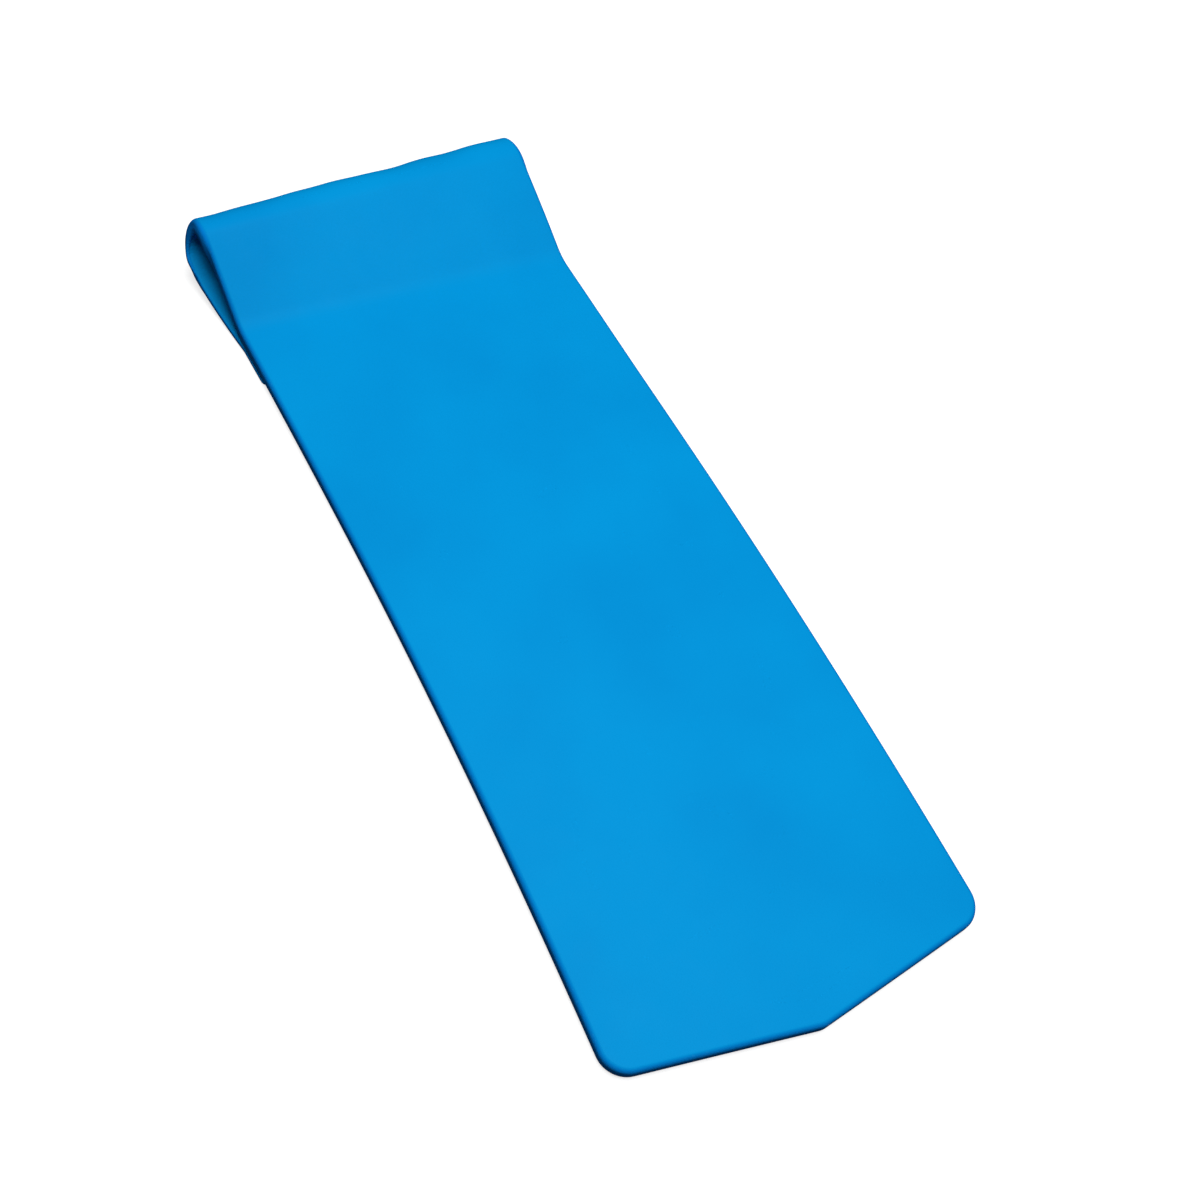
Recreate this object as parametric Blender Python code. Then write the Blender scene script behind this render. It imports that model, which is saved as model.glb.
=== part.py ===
"""A roll-pillow pool mat: one long sheet of coated foam whose head end curls under itself and is glued.

The sheet is drawn flat first, with x across it and s along it, from the tip of the foot to the cut end of the
tail. A route in side view then bends that flat sheet: along the floor, up over the tail, into the crease, over
the pillow, round the head, down its belly to the floor and back under the mat. Every layer of the sheet follows
the same route at its own depth under the outer face. Last, the crease and the seam under it are turned a little
askew, because the end wasn't curled quite square, and the whole mat takes the slight sideways bow in which it lies.
"""

import math

import bmesh
import bpy
from mathutils import Matrix, Vector

# Overall sizes, in metres. X runs across the mat, Y from foot to head, Z up.
LENGTH = 1.778
WIDTH = 0.660
PILLOW_LENGTH = 0.265
PILLOW_HEIGHT = 0.146

# How far the middle of the mat lies to one side of its two ends.
BOW = 0.026

# How much nearer to the head the crease and the seam lie at the left side of the mat than at the right.
SEAM_OFFSET = 0.050

# Plan of the foot end: a shallow point with rounded corners.
FOOT_POINT = 0.055
FOOT_TIP_RADIUS = 0.060
FOOT_CORNER_RADIUS = 0.050
TAIL_CORNER_RADIUS = 0.015

# Layers of the sheet, from either face to its middle.
SKIN = 0.0006
PLY = 0.0145
SCRIM = 0.0006
CLEARANCE = 0.0003
EDGE_RADIUS = 0.0100

# The head end is thinned as it curls under, so that the tail lies flat beneath the mat.
BELLY_PLY = 0.0056
TAIL_PLY = 0.0014
TAIL_SLOPE = math.radians(2.5)
GLUED_LENGTH = 0.090
GLUE = 0.0006
GLUE_MARGIN = 0.006

# Side view of the pillow.
CREASE_RADIUS = 0.085
PILLOW_CROWN = math.radians(3)
HEAD_RADIUS = 0.053

# Least distance between a corner's arc and the next point of the straight side.
STATION_CLEARANCE = 0.001

# Steps in each arc and run.
MAT_STEPS = 9
TIP_STEPS = 2
CORNER_STEPS = 6
TAIL_CORNER_STEPS = 2
EDGE_STEPS = 3
TAIL_STEPS = 3
LIFT_STEPS = 4
CREASE_STEPS = 5
RISE_STEPS = 5
HEAD_STEPS = 22
BELLY_STEPS = 8

VINYL_BLUE = (0.0006, 0.305, 0.708)
FOAM_BLUE = (0.30, 0.55, 0.75)
SCRIM_WHITE = (0.78, 0.78, 0.75)
GLUE_AMBER = (0.62, 0.45, 0.20)


def sheet_thickness(ply):
    """The whole sheet where each foam ply is this thick."""
    return 2 * (SKIN + CLEARANCE + ply + CLEARANCE) + SCRIM


THICKNESS = sheet_thickness(PLY)
TAIL_THICKNESS = sheet_thickness(TAIL_PLY)
SEAM_PLY = TAIL_PLY + GLUED_LENGTH * math.tan(TAIL_SLOPE) / 2
CORE_DEPTH = SKIN + CLEARANCE
EDGE_SHARE = min((EDGE_RADIUS - CORE_DEPTH) / PLY, 0.9)

FOOT_Y = -LENGTH / 2
HEAD_Y = LENGTH / 2
CREASE_Y = HEAD_Y - PILLOW_LENGTH
TAIL_Y = CREASE_Y - GLUED_LENGTH
HEAD_CENTRE = Vector((HEAD_Y - HEAD_RADIUS, PILLOW_HEIGHT - HEAD_RADIUS))
BELLY_RADIUS = ((HEAD_CENTRE.x - CREASE_Y) ** 2 + HEAD_CENTRE.y**2 - HEAD_RADIUS**2) / (
    2 * (HEAD_CENTRE.y - HEAD_RADIUS)
)
BELLY_TURN = math.asin((HEAD_CENTRE.x - CREASE_Y) / (BELLY_RADIUS - HEAD_RADIUS))
BOW_RADIUS = (LENGTH / 2) ** 2 / (2 * BOW) + BOW / 2
LIFT_HEIGHT = TAIL_THICKNESS + GLUE + 2 * CLEARANCE
LIFT_RADIUS = LIFT_HEIGHT / (1 - math.cos(TAIL_SLOPE)) - THICKNESS
LIFT_START = TAIL_Y - (LIFT_RADIUS + THICKNESS) * math.sin(TAIL_SLOPE)


class Span:
    """A straight or an arc of the route, which starts at a point and turns evenly from one angle to another."""

    def __init__(self, start, point, length, angle, end_angle, steps):
        self.start = start
        self.point = point
        self.length = length
        self.angle = angle
        self.end_angle = end_angle
        self.steps = steps

    def at(self, s):
        """The point (y, z) and the angle at the distance s along the sheet."""
        run = s - self.start
        turn = (self.end_angle - self.angle) / self.length
        angle = self.angle + turn * run
        if abs(turn) < 1e-9:
            step = Vector((math.cos(angle), math.sin(angle))) * run
        else:
            step = Vector((math.sin(angle) - math.sin(self.angle), math.cos(self.angle) - math.cos(angle))) / turn
        return self.point + step, angle


def rise_ends(mean_angle, crease_start):
    """Where the pillow's rise starts and ends, when its chord lies at this angle."""
    start_angle = mean_angle + PILLOW_CROWN / 2
    end_angle = mean_angle - PILLOW_CROWN / 2
    turned = Vector((
        math.sin(start_angle) - math.sin(TAIL_SLOPE),
        math.cos(TAIL_SLOPE) - math.cos(start_angle),
    ))
    start = crease_start + CREASE_RADIUS * turned
    end = HEAD_CENTRE + HEAD_RADIUS * Vector((-math.sin(end_angle), math.cos(end_angle)))
    return start, end


def rise_angle(crease_start):
    """The chord angle at which the rise leaves the crease and meets the round head smoothly, found by halving."""
    low, high = 0.0, math.radians(80)
    for _ in range(50):
        middle = (low + high) / 2
        start, end = rise_ends(middle, crease_start)
        chord = end - start
        if math.atan2(chord.y, chord.x) > middle:
            low = middle
        else:
            high = middle
    return (low + high) / 2


def lay_route():
    """The spans of the sheet's outer face in side view, from the foot to the end of the tail."""
    over_tail = Vector((
        TAIL_Y - THICKNESS * math.sin(TAIL_SLOPE),
        LIFT_HEIGHT + THICKNESS * math.cos(TAIL_SLOPE),
    ))
    over_length = (CREASE_Y - over_tail.x) / math.cos(TAIL_SLOPE)
    crease_start = over_tail + over_length * Vector((math.cos(TAIL_SLOPE), math.sin(TAIL_SLOPE)))

    mean_angle = rise_angle(crease_start)
    rise_start, rise_end = rise_ends(mean_angle, crease_start)
    first_angle = mean_angle + PILLOW_CROWN / 2
    last_angle = mean_angle - PILLOW_CROWN / 2
    rise_length = (rise_end - rise_start).length * (PILLOW_CROWN / 2) / math.sin(PILLOW_CROWN / 2)

    plan = (
        ("mat", LIFT_START - FOOT_Y, 0, MAT_STEPS),
        ("lift", LIFT_RADIUS * TAIL_SLOPE, TAIL_SLOPE, LIFT_STEPS),
        ("over tail", over_length, TAIL_SLOPE, 1),
        ("crease", CREASE_RADIUS * (first_angle - TAIL_SLOPE), first_angle, CREASE_STEPS),
        ("rise", rise_length, last_angle, RISE_STEPS),
        ("head", HEAD_RADIUS * (math.pi - BELLY_TURN + last_angle), BELLY_TURN - math.pi, HEAD_STEPS),
        ("belly", BELLY_RADIUS * BELLY_TURN, -math.pi, BELLY_STEPS),
        ("tail", CREASE_Y - TAIL_Y, -math.pi, TAIL_STEPS),
    )
    spans = {}
    start, point, angle = 0.0, Vector((FOOT_Y, THICKNESS)), 0.0
    for name, length, end_angle, steps in plan:
        spans[name] = Span(start, point, length, angle, end_angle, steps)
        point, angle = spans[name].at(start + length)
        start += length
    return spans


ROUTE = lay_route()
SHEET_LENGTH = ROUTE["tail"].start + ROUTE["tail"].length

# Centres of the rounded corners in the flat sheet's plan. The foot's two halves are swept back from its tip.
FOOT_SWEEP = math.atan2(FOOT_POINT, WIDTH / 2)
TIP_CENTRE = (0.0, FOOT_TIP_RADIUS)
FOOT_EDGE_START = FOOT_TIP_RADIUS * (1 - 1 / math.cos(FOOT_SWEEP))
FOOT_CORNER_X = WIDTH / 2 - FOOT_CORNER_RADIUS
FOOT_CORNER_CENTRE = (
    FOOT_CORNER_X,
    FOOT_EDGE_START + FOOT_CORNER_X * math.tan(FOOT_SWEEP) + FOOT_CORNER_RADIUS / math.cos(FOOT_SWEEP),
)
TAIL_CORNER_CENTRE = (WIDTH / 2 - TAIL_CORNER_RADIUS, SHEET_LENGTH - TAIL_CORNER_RADIUS)


def route_at(s):
    """The outer face's point and angle at the distance s along the sheet."""
    reached = [span for span in ROUTE.values() if span.start <= s]
    return reached[-1].at(s)


def eased(value, start, end):
    """0 up to start, 1 from end on, and a smooth step between them."""
    share = min(max((value - start) / (end - start), 0.0), 1.0)
    return share * share * (3 - 2 * share)


def ply_at(s):
    """How thick each foam ply is at the distance s along the sheet."""
    head, belly, tail = ROUTE["head"], ROUTE["belly"], ROUTE["tail"]
    if s <= head.start:
        return PLY
    if s <= belly.start:
        return PLY + (BELLY_PLY - PLY) * eased(s, head.start, belly.start)
    if s <= tail.start:
        return BELLY_PLY + (SEAM_PLY - BELLY_PLY) * (s - belly.start) / belly.length
    return SEAM_PLY + (TAIL_PLY - SEAM_PLY) * (s - tail.start) / tail.length


def laid(x, y, z):
    """The place of a point of the straight mat once its seam is askew and it lies in its sideways bow."""
    askew = eased(y, LIFT_START, TAIL_Y) - eased(y, CREASE_Y, HEAD_Y)
    turn = (y - SEAM_OFFSET * x / WIDTH * askew) / BOW_RADIUS
    reach = BOW_RADIUS + x
    return Vector((reach * math.cos(turn) - BOW_RADIUS, reach * math.sin(turn), z))


def bent(x, s, depth):
    """The place in the finished mat of a point of the flat sheet, at a depth under its outer face."""
    point, angle = route_at(s)
    return laid(x, point.x + depth * math.sin(angle), point.y - depth * math.cos(angle))


def arc_points(centre, radius, start, end, steps):
    """Points of an outline's arc. An angle of 0 faces the foot, and a quarter turn faces the side."""
    points = []
    for step in range(steps + 1):
        angle = start + (end - start) * step / steps
        points.append(Vector((centre[0] + radius * math.sin(angle), centre[1] - radius * math.cos(angle))))
    return points


def side_stations():
    """Distances along the sheet at which its straight side edges have a point."""
    stations = []
    for span in ROUTE.values():
        for step in range(span.steps):
            stations.append(span.start + span.length * step / span.steps)
    first = FOOT_CORNER_CENTRE[1] + STATION_CLEARANCE
    last = TAIL_CORNER_CENTRE[1] - STATION_CLEARANCE
    return [s for s in stations if first < s < last]


def half_outline(inset_at):
    """Half of the flat sheet's outline, from the foot's tip to the tail, drawn in by inset_at(s)."""
    foot_inset = inset_at(0.0)
    tip = arc_points(TIP_CENTRE, FOOT_TIP_RADIUS - foot_inset, 0, FOOT_SWEEP, TIP_STEPS)
    foot_corner = arc_points(
        FOOT_CORNER_CENTRE, FOOT_CORNER_RADIUS - foot_inset, FOOT_SWEEP, math.pi / 2, CORNER_STEPS
    )
    side = [Vector((WIDTH / 2 - inset_at(s), s)) for s in side_stations()]
    tail_radius = TAIL_CORNER_RADIUS - inset_at(SHEET_LENGTH)
    tail_corner = arc_points(TAIL_CORNER_CENTRE, tail_radius, math.pi / 2, math.pi, TAIL_CORNER_STEPS)
    return tip + foot_corner + side + tail_corner


def edge_arc(ply, cover):
    """The rounded upper edge of the sheet as (inset, depth) pairs, at this cover outside or inside the foam."""
    core_radius = EDGE_SHARE * ply
    centre = CORE_DEPTH + core_radius
    radius = core_radius + cover
    pairs = []
    for step in range(EDGE_STEPS + 1):
        angle = math.pi / 2 * (1 - step / EDGE_STEPS)
        pairs.append((centre - radius * math.cos(angle), centre - radius * math.sin(angle)))
    return pairs


def skin_rim(ply):
    """Rim of the outer skin: its outer face down to the middle of the edge, then its inner face back up."""
    lip = (sheet_thickness(ply) - CLEARANCE) / 2
    outer = edge_arc(ply, CORE_DEPTH)
    inner = edge_arc(ply, CLEARANCE)
    return outer + [(0.0, lip), (SKIN, lip)] + inner[::-1]


def ply_rim(ply):
    """Rim of a foam ply, from its rounded outer edge to the flat face that meets the scrim."""
    return edge_arc(ply, 0.0) + [(CORE_DEPTH, CORE_DEPTH + ply)]


def scrim_rim(ply):
    """Rim of the scrim between the two plies."""
    top = CORE_DEPTH + ply + CLEARANCE
    return [(CORE_DEPTH, top), (CORE_DEPTH, top + SCRIM)]


def turned_over(rim):
    """The same rim for the sheet's other face."""
    def other_face(ply):
        return [(inset, sheet_thickness(ply) - depth) for inset, depth in rim(ply)]
    return other_face


def ring_of(bm, rim, level):
    """One closed ring of vertices round the sheet, at one level of the rim."""
    outline = half_outline(lambda s: rim(ply_at(s))[level][0])
    flat = half_outline(lambda s: 0.0)
    right = []
    for drawn, nominal in zip(outline, flat):
        depth = rim(ply_at(nominal.y))[level][1]
        right.append(bm.verts.new(bent(drawn.x, drawn.y, depth)))
    left = []
    for drawn, nominal in zip(outline[1:], flat[1:]):
        depth = rim(ply_at(nominal.y))[level][1]
        left.append(bm.verts.new(bent(-drawn.x, drawn.y, depth)))
    return right, left


def cap(bm, right, left):
    """Fill a ring with strips that run straight across the sheet."""
    bm.faces.new((right[0], right[1], left[0]))
    for i in range(1, len(left)):
        bm.faces.new((right[i], right[i + 1], left[i], left[i - 1]))


def sheet_body(name, rim, colour, roughness):
    """A layer of the sheet as one closed body: rings round its rim, bridged, and a cap over each end."""
    bm = bmesh.new()
    rings = [ring_of(bm, rim, level) for level in range(len(rim(PLY)))]
    for (right, left), (next_right, next_left) in zip(rings, rings[1:]):
        loop = right + left[::-1]
        next_loop = next_right + next_left[::-1]
        for i in range(len(loop)):
            j = (i + 1) % len(loop)
            bm.faces.new((loop[i], loop[j], next_loop[j], next_loop[i]))
    cap(bm, *rings[0])
    cap(bm, *rings[-1])
    return finished(name, bm, colour, roughness)


def glue_body(name, colour, roughness):
    """The film of adhesive between the tail and the underside of the mat, as long as the glued lap."""
    half_width = WIDTH / 2 - GLUE_MARGIN
    start = TAIL_Y + GLUE_MARGIN
    end = CREASE_Y - GLUE_MARGIN
    bm = bmesh.new()
    bmesh.ops.create_cube(bm, size=1.0)
    for vert in bm.verts:
        x = math.copysign(half_width, vert.co.x)
        y = end if vert.co.y > 0 else start
        tail_face = TAIL_THICKNESS + (y - TAIL_Y) * math.tan(TAIL_SLOPE)
        z = tail_face + CLEARANCE + (GLUE if vert.co.z > 0 else 0.0)
        vert.co = laid(x, y, z)
    return finished(name, bm, colour, roughness)


def finished(name, bm, colour, roughness):
    """Turn the faces outward and put the mesh in the scene, with a material of its own."""
    bmesh.ops.recalc_face_normals(bm, faces=bm.faces)
    mesh = bpy.data.meshes.new(name)
    bm.to_mesh(mesh)
    bm.free()
    mesh.shade_smooth()
    mesh.set_sharp_from_angle(angle=math.radians(35))
    material = bpy.data.materials.new(name)
    material.use_nodes = True
    shader = material.node_tree.nodes["Principled BSDF"]
    shader.inputs["Base Color"].default_value = (*colour, 1.0)
    shader.inputs["Roughness"].default_value = roughness
    mesh.materials.append(material)
    obj = bpy.data.objects.new(name, mesh)
    bpy.context.collection.objects.link(obj)
    return obj


def centre(layers):
    """Slide all the layers together, so that the middle of their plan is at the origin."""
    points = [vert.co for obj in layers for vert in obj.data.vertices]
    middle = [(min(p[axis] for p in points) + max(p[axis] for p in points)) / 2 for axis in (0, 1)]
    for obj in layers:
        obj.data.transform(Matrix.Translation((-middle[0], -middle[1], 0.0)))


def main():
    for obj in list(bpy.data.objects):
        bpy.data.objects.remove(obj, do_unlink=True)
    layers = (
        sheet_body("top_skin", skin_rim, VINYL_BLUE, 0.42),
        sheet_body("underside_skin", turned_over(skin_rim), VINYL_BLUE, 0.42),
        sheet_body("upper_foam_ply", ply_rim, FOAM_BLUE, 0.9),
        sheet_body("lower_foam_ply", turned_over(ply_rim), FOAM_BLUE, 0.9),
        sheet_body("reinforcing_scrim", scrim_rim, SCRIM_WHITE, 0.8),
        glue_body("pillow_glue_bond", GLUE_AMBER, 0.3),
    )
    centre(layers)


main()
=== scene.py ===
# %% [markdown]
# # A roll-pillow pool mat
#
# The real mat is one long sheet of closed-cell foam in a coat of soft vinyl. Its foot end is cut to
# a shallow point. Its head end is thinned, curled under and glued to the underside, which leaves a
# hollow pillow that is open at both sides. This file dresses the construction model of that mat.
# The layers inside the sheet keep their shapes and get finishes. The coat, which is all that shows
# from outside, is modelled again as one softer, finer surface.

# %% Load the construction model and measure it
import math
import bpy
from mathutils import Matrix, Vector


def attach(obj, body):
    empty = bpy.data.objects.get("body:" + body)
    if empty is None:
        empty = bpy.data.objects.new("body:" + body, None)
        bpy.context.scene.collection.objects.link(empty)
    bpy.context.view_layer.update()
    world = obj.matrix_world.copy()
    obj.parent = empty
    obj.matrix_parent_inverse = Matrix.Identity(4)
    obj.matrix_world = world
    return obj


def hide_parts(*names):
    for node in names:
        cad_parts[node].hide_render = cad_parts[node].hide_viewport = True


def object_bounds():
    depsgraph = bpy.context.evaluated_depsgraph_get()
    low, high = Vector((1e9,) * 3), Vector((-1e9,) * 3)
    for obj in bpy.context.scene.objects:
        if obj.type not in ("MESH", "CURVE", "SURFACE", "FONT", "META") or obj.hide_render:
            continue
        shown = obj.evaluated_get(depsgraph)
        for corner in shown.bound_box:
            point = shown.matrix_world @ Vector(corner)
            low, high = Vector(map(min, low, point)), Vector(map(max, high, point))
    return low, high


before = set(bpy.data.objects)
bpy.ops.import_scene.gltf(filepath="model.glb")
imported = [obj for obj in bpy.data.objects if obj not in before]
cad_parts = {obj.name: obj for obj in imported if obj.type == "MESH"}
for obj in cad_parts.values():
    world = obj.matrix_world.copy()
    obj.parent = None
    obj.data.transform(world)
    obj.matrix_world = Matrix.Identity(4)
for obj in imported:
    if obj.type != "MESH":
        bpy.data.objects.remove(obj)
cad_low, cad_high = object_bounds()
print("construction model:", [round(v, 4) for v in (*cad_low, *cad_high)])

# %% [markdown]
# ## The floor
#
# The mat lies on a wide pale floor. In a photograph cut out against white, an object keeps its
# dark, unlit sides, but a white floor would throw light up at them. The floor's shader therefore
# asks what kind of ray has reached it: the camera sees a pale floor, and light that bounces off it
# finds a darker one.


# %% A helper for what the camera sees and what light finds
def split_for_camera(tree, seen, bounced, surface):
    """Link one shader to the surface for the camera's rays, and another one for all other rays."""
    ray_kind = tree.nodes.new("ShaderNodeLightPath")
    mix = tree.nodes.new("ShaderNodeMixShader")
    tree.links.new(ray_kind.outputs["Is Camera Ray"], mix.inputs["Fac"])
    tree.links.new(bounced, mix.inputs[1])
    tree.links.new(seen, mix.inputs[2])
    tree.links.new(mix.outputs["Shader"], surface)


# %% Floor
FLOOR_SIZE = 40.0
FLOOR_DROP = 0.0006
FLOOR_GREY = (0.5, 0.5, 0.5, 1)
FLOOR_GLOW = 0.75
BOUNCED_GREY = (0.03, 0.035, 0.045, 1)

bpy.ops.object.select_all(action="DESELECT")
bpy.ops.mesh.primitive_plane_add(size=FLOOR_SIZE, location=(0, 0, -FLOOR_DROP))
floor = bpy.context.object
floor.name = "floor"

floor_paint = bpy.data.materials.new("floor_paint")
floor_paint.use_nodes = True
nodes = floor_paint.node_tree.nodes
seen_floor = nodes["Principled BSDF"]
seen_floor.inputs["Base Color"].default_value = FLOOR_GREY
seen_floor.inputs["Roughness"].default_value = 0.9
seen_floor.inputs["Specular IOR Level"].default_value = 0.0
seen_floor.inputs["Emission Color"].default_value = (1, 1, 1, 1)
seen_floor.inputs["Emission Strength"].default_value = FLOOR_GLOW
bounced_floor = nodes.new("ShaderNodeBsdfDiffuse")
bounced_floor.inputs["Color"].default_value = BOUNCED_GREY
split_for_camera(
    floor_paint.node_tree,
    seen_floor.outputs["BSDF"],
    bounced_floor.outputs["BSDF"],
    nodes["Material Output"].inputs["Surface"],
)
floor.data.materials.append(floor_paint)
print("floor:", FLOOR_SIZE, "m across")

# %% [markdown]
# ## The camera
#
# The camera looks down on the mat from beyond the foot end, to the left of it, and is tilted so
# that the mat runs from the upper left to the lower right. It is placed by the point that it aims
# at, a direction and a distance.

# %% Camera
AIM = Vector((0.026, -0.112, 0.02))
AZIMUTH = math.radians(-42.5)
ELEVATION = math.radians(56)
ROLL = math.radians(17.3)
DISTANCE = 2.396
LENS_MM = 42.0

back = Vector((
    math.sin(AZIMUTH) * math.cos(ELEVATION),
    -math.cos(AZIMUTH) * math.cos(ELEVATION),
    math.sin(ELEVATION),
))
level_right = Vector((math.cos(AZIMUTH), math.sin(AZIMUTH), 0))
level_up = back.cross(level_right)
right = math.cos(ROLL) * level_right + math.sin(ROLL) * level_up
up = math.cos(ROLL) * level_up - math.sin(ROLL) * level_right
turn = Matrix((right, up, back)).transposed().to_4x4()

camera = bpy.data.objects.new("camera", bpy.data.cameras.new("camera"))
camera.data.lens = LENS_MM
camera.matrix_world = Matrix.Translation(AIM + DISTANCE * back) @ turn
bpy.context.collection.objects.link(camera)
bpy.context.scene.camera = camera
print("camera at", [round(v, 3) for v in camera.matrix_world.translation])

# %% [markdown]
# ## The light
#
# One large soft panel hangs high over the mat. The top face and the slope of the pillow get nearly
# the same light from it, so that the bend between them all but vanishes. The upright edges get only
# a graze of it and fall away to a deep blue, and the far side of the head darkens as it turns away.
# A very dim, even sky keeps the hollow from going black. Like the floor, the sky asks what kind of
# ray has reached it, and shows the camera a white studio. The plain view transform is used, because
# a filmic one would wash out a blue as pure as this.

# %% Panel
PANEL_PLACE = Vector((0.1, -0.2, 4.6))
PANEL_SIZE = 3.2
PANEL_WATTS = 236.0

panel_data = bpy.data.lights.new("soft_panel", "AREA")
panel_data.shape = "SQUARE"
panel_data.size = PANEL_SIZE
panel_data.energy = PANEL_WATTS
panel = bpy.data.objects.new("soft_panel", panel_data)
panel.location = PANEL_PLACE
panel.rotation_euler = (Vector((0, 0, 0)) - PANEL_PLACE).to_track_quat("-Z", "Y").to_euler()
bpy.context.collection.objects.link(panel)
print("panel:", PANEL_WATTS, "W from", PANEL_PLACE.z, "m up")

# %% Sky
SKY_STRENGTH = 0.06
SKY_COLOUR = (0.93, 0.96, 1.0, 1)
STUDIO_WHITE = (0.93, 0.93, 0.93, 1)

sky = bpy.data.worlds.new("sky")
sky.use_nodes = True
nodes = sky.node_tree.nodes
dim_sky = nodes["Background"]
dim_sky.inputs["Color"].default_value = SKY_COLOUR
dim_sky.inputs["Strength"].default_value = SKY_STRENGTH
seen_sky = nodes.new("ShaderNodeBackground")
seen_sky.inputs["Color"].default_value = STUDIO_WHITE
split_for_camera(
    sky.node_tree,
    seen_sky.outputs["Background"],
    dim_sky.outputs["Background"],
    nodes["World Output"].inputs["Surface"],
)
bpy.context.scene.world = sky
bpy.context.scene.view_settings.view_transform = "Standard"

# %% [markdown]
# ## The route of the sheet
#
# The mat is modelled straight and takes its sideways bow later. Seen from the side, its outer face
# is a chain of straights and arcs: flat on the floor, a gentle lift over the glued tail, the
# crease, the rise of the pillow, the round head, and a long belly that comes down to the floor
# where the pillow starts. Nearly every arc follows from the pillow's length and height. Only the
# angle of the rise has to be searched for, by halving, so that the rise leaves the crease and meets
# the head without a kink.

# %% Sizes of the sheet
LENGTH = 1.778
WIDTH = 0.660
THICKNESS = 0.0320
BELLY_THICKNESS = 0.0142
TAIL_THICKNESS = 0.0058
PILLOW_LENGTH = 0.265
PILLOW_HEIGHT = 0.146
GLUED_LENGTH = 0.090
GLUE_LINE = 0.0012
TAIL_SLOPE = math.radians(2.5)
CREASE_RADIUS = 0.085
PILLOW_CROWN = math.radians(3)
HEAD_RADIUS = 0.053

FOOT_Y = -LENGTH / 2
CREASE_Y = LENGTH / 2 - PILLOW_LENGTH
TAIL_Y = CREASE_Y - GLUED_LENGTH
SEAM_THICKNESS = TAIL_THICKNESS + GLUED_LENGTH * math.tan(TAIL_SLOPE)
head_centre = Vector((LENGTH / 2 - HEAD_RADIUS, PILLOW_HEIGHT - HEAD_RADIUS))


# %% Route of the outer face
def along(angle):
    """The direction (y, z) in which the sheet runs at this angle."""
    return Vector((math.cos(angle), math.sin(angle)))


def outward(angle):
    """The direction (y, z) out of the sheet's outer face at this angle."""
    return Vector((-math.sin(angle), math.cos(angle)))


LIFT_HEIGHT = TAIL_THICKNESS + GLUE_LINE
LIFT_RADIUS = LIFT_HEIGHT / (1 - math.cos(TAIL_SLOPE)) - THICKNESS
LIFT_START = TAIL_Y - (LIFT_RADIUS + THICKNESS) * math.sin(TAIL_SLOPE)
lift_end = Vector((TAIL_Y, LIFT_HEIGHT)) + THICKNESS * outward(TAIL_SLOPE)
crease_start = lift_end + along(TAIL_SLOPE) * (CREASE_Y - lift_end.x) / math.cos(TAIL_SLOPE)

head_reach = head_centre.x - CREASE_Y
head_lift = head_centre.y - HEAD_RADIUS
BELLY_RADIUS = (head_reach**2 + head_centre.y**2 - HEAD_RADIUS**2) / (2 * head_lift)
BELLY_TURN = math.asin(head_reach / (BELLY_RADIUS - HEAD_RADIUS))


def rise_ends(chord_angle):
    """Where the rise would start and end if its chord lay at this angle."""
    first, last = chord_angle + PILLOW_CROWN / 2, chord_angle - PILLOW_CROWN / 2
    start = crease_start + CREASE_RADIUS * (outward(TAIL_SLOPE) - outward(first))
    return start, head_centre + HEAD_RADIUS * outward(last)


HALVINGS = 50
STEEPEST_RISE = math.radians(80)

low_angle, high_angle = 0.0, STEEPEST_RISE
for _ in range(HALVINGS):
    chord_angle = (low_angle + high_angle) / 2
    rise_start, rise_end = rise_ends(chord_angle)
    chord = rise_end - rise_start
    if math.atan2(chord.y, chord.x) > chord_angle:
        low_angle = chord_angle
    else:
        high_angle = chord_angle
RISE_ANGLE = chord_angle + PILLOW_CROWN / 2
BROW_ANGLE = chord_angle - PILLOW_CROWN / 2
RISE_RADIUS = chord.length / 2 / math.sin(PILLOW_CROWN / 2)
print("the pillow rises at", round(math.degrees(chord_angle), 1), "degrees")

# %% [markdown]
# ## The flat part of the mat
#
# The maker cuts the sheet from a roll and trims the foot end with a knife. A grid is the right
# start: its columns run the whole length of the sheet, and two slanted cuts trim the foot to its
# point and leave clean four-sided faces. Two more cuts set a narrow column at each side of the
# middle, which keeps the blunt tip small when the mesh is smoothed. The foot's corners are rounded
# by bevelling their vertices, and the rows near the foot are far enough apart to leave room for
# that.


# %% A helper that selects by place
NEAR = 1e-5  # metres


def select_points(obj, is_wanted):
    """Go to edit mode with only the points that pass the test selected, and what lies between them."""
    bpy.ops.object.mode_set(mode="OBJECT")
    mesh = obj.data
    mesh.polygons.foreach_set("select", [False] * len(mesh.polygons))
    mesh.edges.foreach_set("select", [False] * len(mesh.edges))
    mesh.vertices.foreach_set("select", [is_wanted(v.co) for v in mesh.vertices])
    bpy.ops.object.mode_set(mode="EDIT")
    bpy.ops.mesh.select_mode(type="VERT")


# %% Grid, trimmed to the pointed foot
COLUMNS = 12
MAT_ROWS = 11
FOOT_POINT = 0.055
FOOT_SWEEP = math.atan2(FOOT_POINT, WIDTH / 2)
FOOT_TIP_RADIUS = 0.060
TIP_REACH = FOOT_TIP_RADIUS * math.sin(FOOT_SWEEP)
SHARP_TIP_Y = FOOT_Y - FOOT_TIP_RADIUS * (1 / math.cos(FOOT_SWEEP) - 1)

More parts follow.
